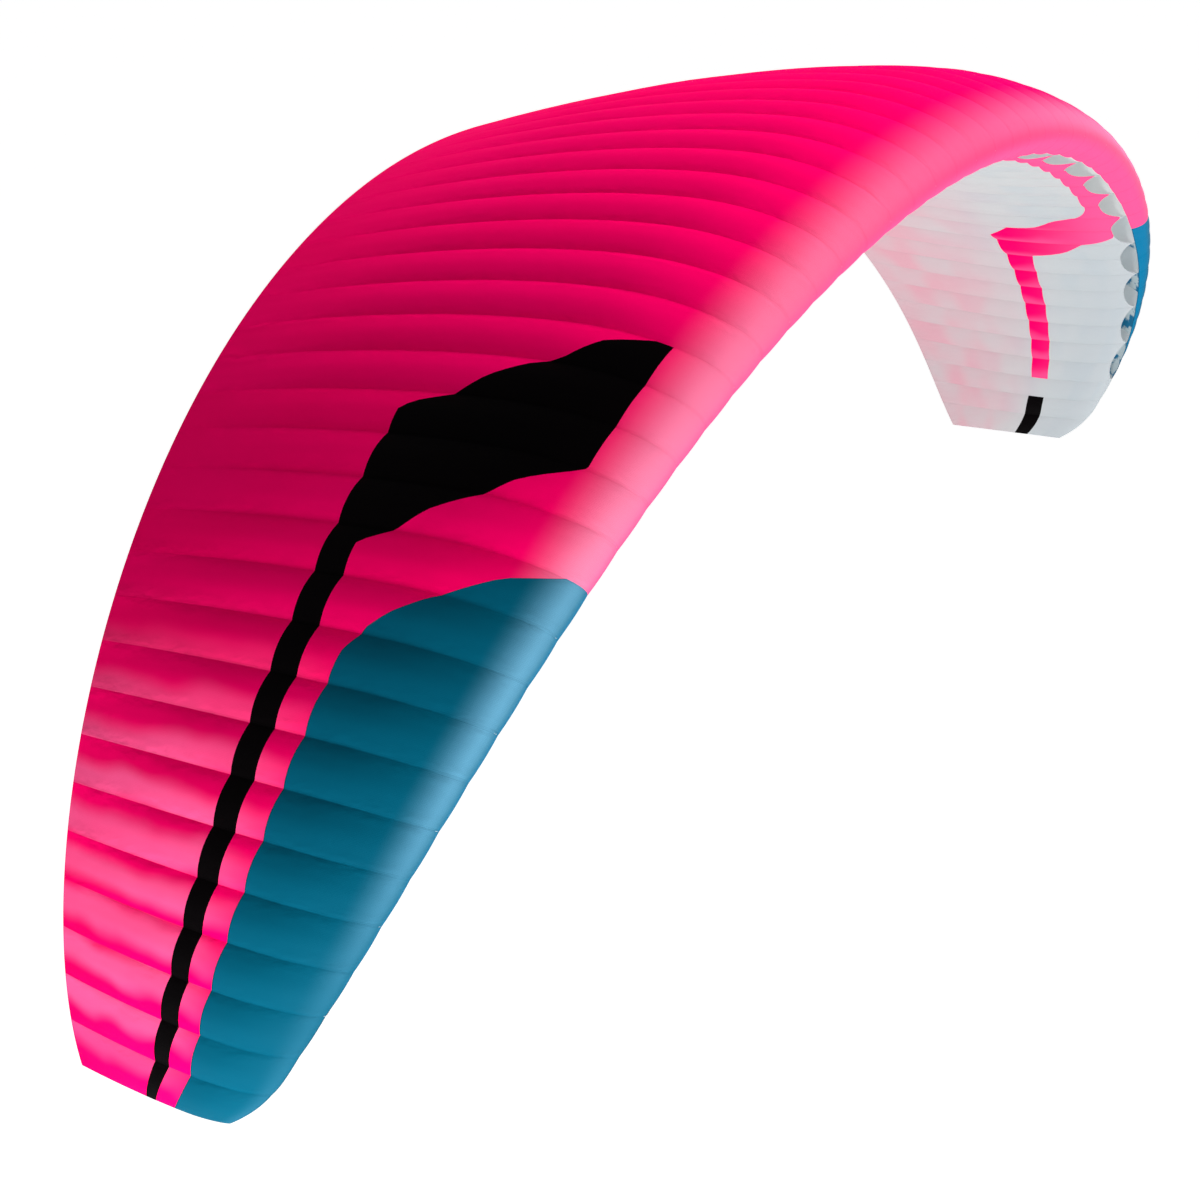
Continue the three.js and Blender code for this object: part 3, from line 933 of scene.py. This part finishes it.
@dataclass(frozen=True)
class InnerCoating:
    """The grey coated inner face of a skin, with light blotches where its colour shows through, and a
    painted glow that stands in for light through the cloth.
    """

    name: str
    base: Colour
    show: Colour
    amount: float
    edges: Stretch = (0.46, 0.58)
    roughness: float = 0.55
    uneven: float = 0.1
    gloss: float = 0.2
    painted_glow: float = 0.35

    def build(self) -> bpy.types.Material:
        """Coats the cloth.

        Returns:
            The coating's material.
        """
        t = NodeTree(self.name)
        blotch = t.noise(t.uv("cloth"), scale=9.0, detail=3.0, roughness=0.6)
        colour = t.colour(blotch.ramp(*self.edges) * self.amount, self.base, self.show)
        return t.principled({
            "Base Color": colour, "Roughness": blotch * self.uneven + self.roughness,
            "Normal": t.bump(blotch, distance=0.004, strength=0.5), "Specular IOR Level": self.gloss,
            # Painted glow: the coating shines with its own colour, standing in for light through the cloth.
            "Emission Color": colour, "Emission Strength": self.painted_glow,
        })


@dataclass(frozen=True)
class RibCloth:
    """Stiff uncoloured rib cloth, a little crumpled, with a painted glow that stands in for light through
    it.
    """

    name: str
    base: Colour
    deep: Colour
    roughness: float = 0.6
    uneven: float = 0.1
    gloss: float = 0.2
    painted_glow: float = 0.3

    def build(self) -> bpy.types.Material:
        """Crumples the cloth.

        Returns:
            The rib cloth's material.
        """
        t = NodeTree(self.name)
        crumple = t.noise(t.uv("cloth"), scale=7.0, detail=3.0, roughness=0.55)
        colour = t.colour(crumple, self.base, self.deep)
        return t.principled({
            "Base Color": colour, "Roughness": crumple * self.uneven + self.roughness,
            "Normal": t.bump(crumple, distance=0.01, strength=0.6), "Specular IOR Level": self.gloss,
            # Painted glow: the rib cloth shines with its own colour, standing in for light through it.
            "Emission Color": colour, "Emission Strength": self.painted_glow,
        })


Finish = Ripstop | InnerCoating | RibCloth


@dataclass
class Finishes:
    """Every finish of the wing, built once."""

    pink: Ripstop = Ripstop(
        "pink_ripstop", linear(255, 0, 102), linear(248, 0, 86), roughness=0.55, gloss=0.004,
        # Painted highlights along the nose and underneath, and painted light on one side of the cells near
        # the tips.
        effects=(
            PaintedNoseHighlight(linear(255, 134, 172), beneath=0.6),
            PaintedUnderHighlight(linear(255, 84, 142)),
            PaintedCellLight(linear(255, 92, 150)),
        ),
    )
    black: Ripstop = Ripstop(
        "black_ripstop", linear(3, 1, 2), linear(1, 1, 1), roughness=0.6, gloss=0.02,
    )
    blue: Ripstop = Ripstop(
        # Painted shadow along the blue panels' seams.
        "blue_ripstop", linear(0, 84, 108), linear(0, 70, 92), roughness=0.55, gloss=0.02, painted_seam_shadow=0.6,
        # Painted highlights along the nose and underneath.
        effects=(
            PaintedNoseHighlight(linear(94, 154, 184), rows=(0.27, 0.09), at_tip=0.1, beneath=0.25),
            PaintedUnderHighlight(linear(5, 115, 158)),
        ),
    )
    white: Ripstop = Ripstop(
        "white_ripstop", linear(188, 191, 192), linear(179, 183, 185), gloss=0.05,
        effects=(LightThrough(linear(216, 150, 165), linear(170, 181, 188)),),
    )
    coating: InnerCoating = InnerCoating(
        "grey_coating", linear(205, 208, 208), linear(230, 150, 180), amount=0.12,
    )
    blue_coating: InnerCoating = InnerCoating(
        "blue_coating", linear(176, 190, 194), linear(20, 104, 142), amount=1.0,
    )
    ribs: RibCloth = RibCloth("rib_cloth", linear(214, 216, 216), linear(196, 200, 200))
    built: dict[str, bpy.types.Material] = field(default_factory=dict)

    def get(self, finish: Finish) -> bpy.types.Material:
        """The material of a finish, built on its first use.

        Args:
            finish: One of the finishes above.

        Returns:
            Its material.
        """
        if finish.name not in self.built:
            self.built[finish.name] = finish.build()
        return self.built[finish.name]


# ---- Pieces ------------------------------------------------------------------------------


@dataclass
class Tailor:
    """Turns placed cloth into objects: UV maps, thickness, finish, riding and hiding the part it replaces.
    """

    finishes: Finishes
    sheet_thickness: float = 0.0014

    def make(self, name: str, bm: bmesh.types.BMesh, *finishes: Finish) -> bpy.types.Object:
        """Puts a piece of cloth into the scene.

        Args:
            name: The piece's name.
            bm: Its mesh, which is freed.
            finishes: The finish of its outer face, then of its inner face where that differs.

        Returns:
            The piece's object.
        """
        for edge in bm.edges:
            edge.smooth = not edge.is_boundary
        mesh = bpy.data.meshes.new(name)
        bm.to_mesh(mesh)
        bm.free()
        for finish in finishes:
            mesh.materials.append(self.finishes.get(finish))
        mesh.shade_smooth()
        piece = bpy.data.objects.new(name, mesh)
        bpy.context.scene.collection.objects.link(piece)
        return piece

    def read(self, mesh: bpy.types.Mesh, name: str) -> np.ndarray:
        """Reads a point attribute.

        Args:
            mesh: The mesh that has it.
            name: The attribute's name.

        Returns:
            One number for each vertex.
        """
        values = np.zeros(len(mesh.vertices), np.float32)
        mesh.attributes[name].data.foreach_get("value", values)
        return values.astype(float)

    def add_uv(self, mesh: bpy.types.Mesh, name: str, *sides: np.ndarray) -> None:
        """Adds a UV map.

        Args:
            mesh: The mesh that gets it.
            name: The map's name.
            sides: U and V, with one number for each vertex.
        """
        layer = mesh.uv_layers.new(name=name)
        index = np.zeros(len(mesh.loops), np.int32)
        mesh.loops.foreach_get("vertex_index", index)
        points = np.stack(sides, axis=1)
        layer.uv.foreach_set("vector", points[index].astype(np.float32).ravel())

    def thicken(self, piece: bpy.types.Object, inner_finish: int) -> None:
        """Gives the cloth its thickness, inwards.

        Args:
            piece: The piece of cloth.
            inner_finish: Number of the finish on its inner face.
        """
        solid = piece.modifiers.new("thickness", "SOLIDIFY")
        solid.thickness = self.sheet_thickness
        solid.offset = -1
        solid.use_rim = True
        solid.material_offset = inner_finish

    def area(self, mesh: bpy.types.Mesh) -> float:
        """Measures the cloth.

        Args:
            mesh: The cloth, before it has its thickness.

        Returns:
            Its area in square metres.
        """
        areas = np.zeros(len(mesh.polygons), np.float32)
        mesh.polygons.foreach_get("area", areas)
        return float(areas.sum())

    def declare(self, piece: bpy.types.Object, slot: Slot, node: str, width: float, length: float,
                area: float) -> None:
        """Rides and replaces one sheet of cloth.

        Args:
            piece: The sheet.
            slot: The material slot of its node; not used.
            node: The node that it replaces.
            width: Its width, laid flat; not used.
            length: Its length, laid flat; not used.
            area: Its area; not used.
        """
        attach(piece, BODY)
        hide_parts(node)


@dataclass
class SkinPanel:
    """One cut panel of a skin."""

    node: str
    slot: Slot
    outer: Ripstop
    inner: InnerCoating | Ripstop
    blocks: Sequence[Block]
    seam_lines: Sequence[Curve]

    def build(self, grid: ClothGrid, balloon: Ballooning, tailor: Tailor) -> bpy.types.Object:
        """Sews the panel.

        Args:
            grid: The grid of the skin that the panel is cut from.
            balloon: How far the cells are blown out.

        Returns:
            The panel's object.
        """
        bm = grid.build(self.blocks)
        layers = bm.verts.layers.float
        cell, row = (np.array([v[layers[name]] for v in bm.verts]) for name in ("cell", "row"))
        shape = grid.shape
        points = shape.surface(cell, row) + shape.normal(cell, row) * balloon.lift(cell, row)[:, None]
        for vertex, point in zip(bm.verts, points):
            vertex.co = point
        bmesh.ops.remove_doubles(bm, verts=bm.verts, dist=WELD_DISTANCE)
        self._face_outwards(bm, shape)
        piece = tailor.make(f"{self.node}_cloth", bm, self.outer, self.inner)
        self._map(piece.data, shape, tailor)
        area = tailor.area(piece.data)
        tailor.thicken(piece, inner_finish=1)
        ends = np.array([min(b.start for b in self.blocks), max(b.end for b in self.blocks)])
        width = shape.half_span * float(np.diff(shape.span_fraction(ends))[0])
        length = float(np.ptp(shape.cloth_run(cell, row)))
        declared = min(length, area / (DECLARED_FILL * width))
        if declared < length:
            LOG.warning("%s: declared %.3f m long but measures %.3f m", self.node, declared, length)
        tailor.declare(piece, self.slot, self.node, width, declared, area)
        return piece

    def _face_outwards(self, bm: bmesh.types.BMesh, shape: WingShape) -> None:
        """Turns the faces so that they point away from the inside of the wing.

        Args:
            bm: The panel's mesh, already placed.
            shape: The wing's shape.
        """
        bm.faces.ensure_lookup_table()
        bm.normal_update()
        face = max(bm.faces, key=lambda f: f.calc_area())
        layers = bm.verts.layers.float
        cell = np.array([np.mean([v[layers["cell"]] for v in face.verts])])
        row = np.array([np.mean([v[layers["row"]] for v in face.verts])])
        if face.normal.dot(Vector(shape.normal(cell, row)[0])) < 0:
            bmesh.ops.reverse_faces(bm, faces=bm.faces)

    def _map(self, mesh: bpy.types.Mesh, shape: WingShape, tailor: Tailor) -> None:
        """Adds the UV maps and the distance from the panel's seams.

        Args:
            mesh: The panel's mesh.
            shape: The wing's shape.
            tailor: What reads and maps the mesh.
        """
        cell, row = tailor.read(mesh, "cell"), tailor.read(mesh, "row")
        run = shape.cloth_run(cell, row)
        tailor.add_uv(mesh, "cloth", shape.half_span * shape.span_fraction(cell), run)
        tailor.add_uv(mesh, "place", cell, row)
        nearest = np.full(len(cell), 1.0)
        for line in self.seam_lines:
            nearest = np.minimum(nearest, np.abs(shape.cloth_run(cell, line(cell)) - run))
        seam = mesh.attributes.new("seam", "FLOAT", "POINT")
        seam.data.foreach_set("value", nearest.astype(np.float32))


@dataclass
class TopSkin:
    """The pink, black and blue panels over the wing, down to the lip of its mouths."""

    shape: WingShape
    pattern: Pattern
    balloon: Ballooning
    tailor: Tailor
    band_rows: tuple[int, ...] = (18, 10, 8, 22)

    def build(self) -> list[bpy.types.Object]:
        """Sews the panels of the top skin.

        Returns:
            The panels' objects.
        """
        tip, black, blue = self.shape.half_cells, self.pattern.black_from, self.pattern.blue_from
        lines = self.pattern.top_lines()
        dye = self.tailor.finishes
        pink = [Block(0, -blue, blue), Block(1, -tip, tip), Block(2, -black, black), Block(3, -tip, tip)]
        panels = [SkinPanel("top_pink", Slot.PINK, dye.pink, dye.coating, pink, [lines[0], lines[-1]])]
        for side in Side:
            block = Block(2, *side.stretch(black, tip))
            name = f"top_black_{side.word}"
            panels.append(SkinPanel(name, Slot.BLACK, dye.black, dye.coating, [block], lines[2:4]))
            block = Block(0, *side.stretch(blue, tip))
            name = f"top_blue_{side.word}"
            panels.append(SkinPanel(name, Slot.BLUE, dye.blue, dye.blue_coating, [block], lines[0:2]))
        grid = ClothGrid(self.shape, lines, self.band_rows)
        return [panel.build(grid, self.balloon, self.tailor) for panel in panels]


@dataclass
class LowerSkin:
    """The white lower skin with its pink band, wedges and stripes and the black tip stripes."""

    shape: WingShape
    pattern: Pattern
    balloon: Ballooning
    tailor: Tailor
    band_rows: tuple[int, ...] = (7, 7, 24)

    def build(self) -> list[bpy.types.Object]:
        """Sews the panels of the lower skin.

        Returns:
            The panels' objects.
        """
        tip = self.shape.half_cells
        pink_to, black_from = self.pattern.lower_pink_to, self.pattern.lower_black_from
        lines = self.pattern.lower_lines()
        dye = self.tailor.finishes
        pink = [Block(1, -pink_to, pink_to)]
        white = [Block(0, -tip, tip), Block(2, -tip, tip)]
        white += [Block(1, *side.stretch(pink_to, black_from)) for side in Side]
        panels = [
            SkinPanel("lower_white", Slot.WHITE, dye.white, dye.white, white, [lines[0], lines[-1]]),
            SkinPanel("lower_pink", Slot.PINK, dye.pink, dye.coating, pink, lines[1:3]),
        ]
        for side in Side:
            block = Block(1, *side.stretch(black_from, tip))
            name = f"lower_black_{side.word}"
            panels.append(SkinPanel(name, Slot.BLACK, dye.black, dye.coating, [block], lines[1:3]))
        grid = ClothGrid(self.shape, lines, self.band_rows)
        return [panel.build(grid, self.balloon, self.tailor) for panel in panels]


@dataclass
class Ribs:
    """The flat ribs that part the cells: at the mouths' sides, in their depth and at the tips."""

    shape: WingShape
    pattern: Pattern
    tailor: Tailor
    main_count: int = 13
    middle_count: int = 11
    end_row: float = 0.97
    cut_back_top: float = 0.3
    cut_back_lower: float = 0.38
    steps: int = 36
    layers: int = 4
    clearance: float = 0.003

    def build(self) -> list[bpy.types.Object]:
        """Cuts every rib.

        Returns:
            The ribs' objects.
        """
        pieces = []
        for side in Side:
            for number in range(1, self.main_count + 1):
                cell = 2 * number - 1.5
                front = -float(self.pattern.lip(np.array(cell)))
                pieces.append(self._rib(f"rib_main_{side.word}_{number}", side.value * cell, front, 0.0))
            for number in range(1, self.middle_count + 1):
                cell = 2 * number - 0.5
                pieces.append(self._rib(f"rib_middle_{side.word}_{number}", side.value * cell,
                                        -self.cut_back_lower, self.cut_back_top))
            tip = side.value * self.shape.half_cells
            pieces.append(self._rib(f"rib_tip_{side.word}", tip, 0.0, 0.0))
        return pieces

    def _rib(self, node: str, cell: float, lower_front: float, top_front: float) -> bpy.types.Object:
        """One rib, as a grid laid between its lower and its top edge.

        Args:
            node: The node that the rib stands for.
            cell: The rib's cell coordinate.
            lower_front: Row at which its lower edge starts.
            top_front: Row at which its top edge starts.

        Returns:
            The rib's object.
        """
        bm = bmesh.new()
        bmesh.ops.create_grid(bm, x_segments=self.steps, y_segments=self.layers, size=1.0)
        along = np.array([(v.co.x + 1) / 2 for v in bm.verts])
        across = np.array([(v.co.y + 1) / 2 for v in bm.verts])
        top = top_front + (self.end_row - top_front) * along
        low = lower_front + (-self.end_row - lower_front) * along
        cells = np.full(len(along), cell)
        top_aft, top_out = self.shape.section(cells, top)
        low_aft, low_out = self.shape.section(cells, low)
        aft = low_aft + (top_aft - low_aft) * across
        out = (low_out + self.clearance) + (top_out - low_out - 2 * self.clearance) * across
        for vertex, point in zip(bm.verts, self.shape.lifted(cells, aft, out)):
            vertex.co = point
        bmesh.ops.remove_doubles(bm, verts=bm.verts, dist=WELD_DISTANCE)
        piece = self.tailor.make(f"{node}_cloth", bm, self.tailor.finishes.ribs)
        places = np.array([v.co for v in piece.data.vertices], float)
        x, z = self.shape.arch(self.shape.span_fraction(np.array([cell])))
        height = np.hypot(places[:, 0] - x[0], places[:, 2] - z[0])
        self.tailor.add_uv(piece.data, "cloth", places[:, 1], height)
        area = self.tailor.area(piece.data)
        self.tailor.thicken(piece, inner_finish=0)
        length, depth = float(np.ptp(aft)), float(np.ptp(out))
        self.tailor.declare(piece, Slot.RIB, node, depth, length, area)
        return piece


# ---- Studio ------------------------------------------------------------------------------


@dataclass(frozen=True)
class Lamp:
    """One large soft light."""

    name: str
    place: Spot
    target: Spot
    size: float
    power: float
    in_gloss: bool = True

    def build(self) -> None:
        """Hangs the lamp and aims it."""
        data = bpy.data.lights.new(self.name, "AREA")
        data.shape = "DISK"
        data.size = self.size
        data.energy = self.power
        lamp = bpy.data.objects.new(self.name, data)
        lamp.visible_camera = False
        lamp.visible_glossy = self.in_gloss
        turn = (Vector(self.target) - Vector(self.place)).to_track_quat("-Z", "Y").to_matrix().to_4x4()
        lamp.matrix_world = Matrix.Translation(self.place) @ turn
        bpy.context.scene.collection.objects.link(lamp)


@dataclass
class Studio:
    """Pale floor, soft light and the camera."""

    floor_drop: float = 14.0
    floor_half: float = 300.0
    floor_glow: float = 0.72
    backdrop_share: float = 0.96
    backdrop_height: float = 260.0
    backdrop_sunk: float = 1.0
    sky: float = 0.3
    lamps: tuple[Lamp, ...] = (
        Lamp("side", (-9.2, -0.5, -5.2), (-4.2, 1.2, -2.0), 3.0, 600.0),
        Lamp("nose", (-1.0, -12.6, 3.4), (-1.0, 0.5, -0.8), 7.0, 1200.0),
        Lamp("top", (9.6, 1.5, 9.6), (0, 1.5, -0.5), 6.0, 2050.0, in_gloss=False),
    )
    camera_place: Spot = (-8.9574, -3.787, 1.9639)
    camera_yaw: float = 0.9678
    camera_pitch: float = -0.404
    camera_roll: float = -0.0765
    focal_share: float = 2037.8 / 1200
    sensor: float = 36.0
    far_clip: float = 2000.0

    def build(self) -> None:
        """Sets up the stage."""
        self._floor()
        self._backdrop()
        self._world()
        for lamp in self.lamps:
            lamp.build()
        self._camera()
        bpy.context.scene.view_settings.view_transform = "Standard"

    @property
    def floor_height(self) -> float:
        """Z of the floor."""
        return CAD_BOX[0].z - self.floor_drop

    def _put(self, name: str, bm: bmesh.types.BMesh, paint: bpy.types.Material) -> bpy.types.Object:
        """Puts a part of the stage into the scene.

        Args:
            name: Its name.
            bm: Its mesh, which is freed.
            paint: Its material.

        Returns:
            Its object.
        """
        mesh = bpy.data.meshes.new(name)
        bm.to_mesh(mesh)
        bm.free()
        mesh.materials.append(paint)
        part = bpy.data.objects.new(name, mesh)
        bpy.context.scene.collection.objects.link(part)
        return part

    def _floor(self) -> None:
        """A plain pale floor under the wing."""
        bm = bmesh.new()
        bmesh.ops.create_grid(bm, x_segments=2, y_segments=2, size=self.floor_half)
        bmesh.ops.translate(bm, verts=bm.verts, vec=(0, 0, self.floor_height))
        tree = NodeTree("floor_paint")
        place = tree.add("ShaderNodeTexCoord", {}, {}, output="Object")
        grain = tree.add("ShaderNodeTexNoise", {}, {"Vector": place, "Scale": 0.6})
        colour = tree.colour(grain, linear(250, 250, 250), linear(246, 246, 247))
        self._put("floor", bm, tree.principled({
            "Base Color": colour, "Roughness": 0.9,
            "Emission Color": WHITE, "Emission Strength": self.floor_glow,
        }))

    def _backdrop(self) -> None:
        """A white wall far around the floor, which gives no light of its own to the wing."""
        bm = bmesh.new()
        radius, depth = self.floor_half * self.backdrop_share, self.backdrop_height
        bmesh.ops.create_cone(bm, segments=96, radius1=radius, radius2=radius, depth=depth)
        raised = self.floor_height + depth / 2 - self.backdrop_sunk
        bmesh.ops.translate(bm, verts=bm.verts, vec=(0, 0, raised))
        bmesh.ops.reverse_faces(bm, faces=bm.faces)
        wall = self._put("backdrop", bm, NodeTree("backdrop_paint").principled({
            "Base Color": BLACK, "Roughness": 1.0, "Specular IOR Level": 0.0,
            "Emission Color": WHITE, "Emission Strength": 1.0,
        }))
        wall.visible_diffuse = False
        wall.visible_glossy = False
        wall.visible_shadow = False

    def _world(self) -> None:
        """Even white light from all around."""
        world = bpy.data.worlds.new("studio")
        world.use_nodes = True
        background = world.node_tree.nodes["Background"]
        background.inputs["Color"].default_value = WHITE
        background.inputs["Strength"].default_value = self.sky
        bpy.context.scene.world = world

    def _camera(self) -> None:
        """The camera, beside the wing's right tip and a little over it."""
        yaw, pitch, roll = self.camera_yaw, self.camera_pitch, self.camera_roll
        ahead = Vector((math.sin(yaw) * math.cos(pitch), math.cos(yaw) * math.cos(pitch), math.sin(pitch)))
        level = Vector((math.cos(yaw), -math.sin(yaw), 0))
        raised = level.cross(ahead)
        right = level * math.cos(roll) + raised * math.sin(roll)
        up = raised * math.cos(roll) - level * math.sin(roll)
        data = bpy.data.cameras.new("camera")
        data.sensor_width = self.sensor
        data.lens = self.focal_share * self.sensor
        data.clip_end = self.far_clip
        camera = bpy.data.objects.new("camera", data)
        turn = Matrix((right, up, -ahead)).transposed().to_4x4()
        camera.matrix_world = Matrix.Translation(self.camera_place) @ turn
        bpy.context.scene.collection.objects.link(camera)
        bpy.context.scene.camera = camera


def main() -> None:
    """Builds the studio and the wing, piece by piece."""
    logging.basicConfig(level=logging.INFO, format="%(name)s: %(message)s")
    shape, pattern = WingShape(), Pattern()
    tailor = Tailor(Finishes())
    balloon = Ballooning(shape)
    Studio().build()
    assemblies = (
        TopSkin(shape, pattern, balloon, tailor),
        LowerSkin(shape, pattern, balloon, tailor),
        Ribs(shape, pattern, tailor),
    )
    for assembly in assemblies:
        for piece in assembly.build():
            LOG.info("%s: %d faces of cloth", piece.name, len(piece.data.polygons))


if __name__ == "__main__":
    main()
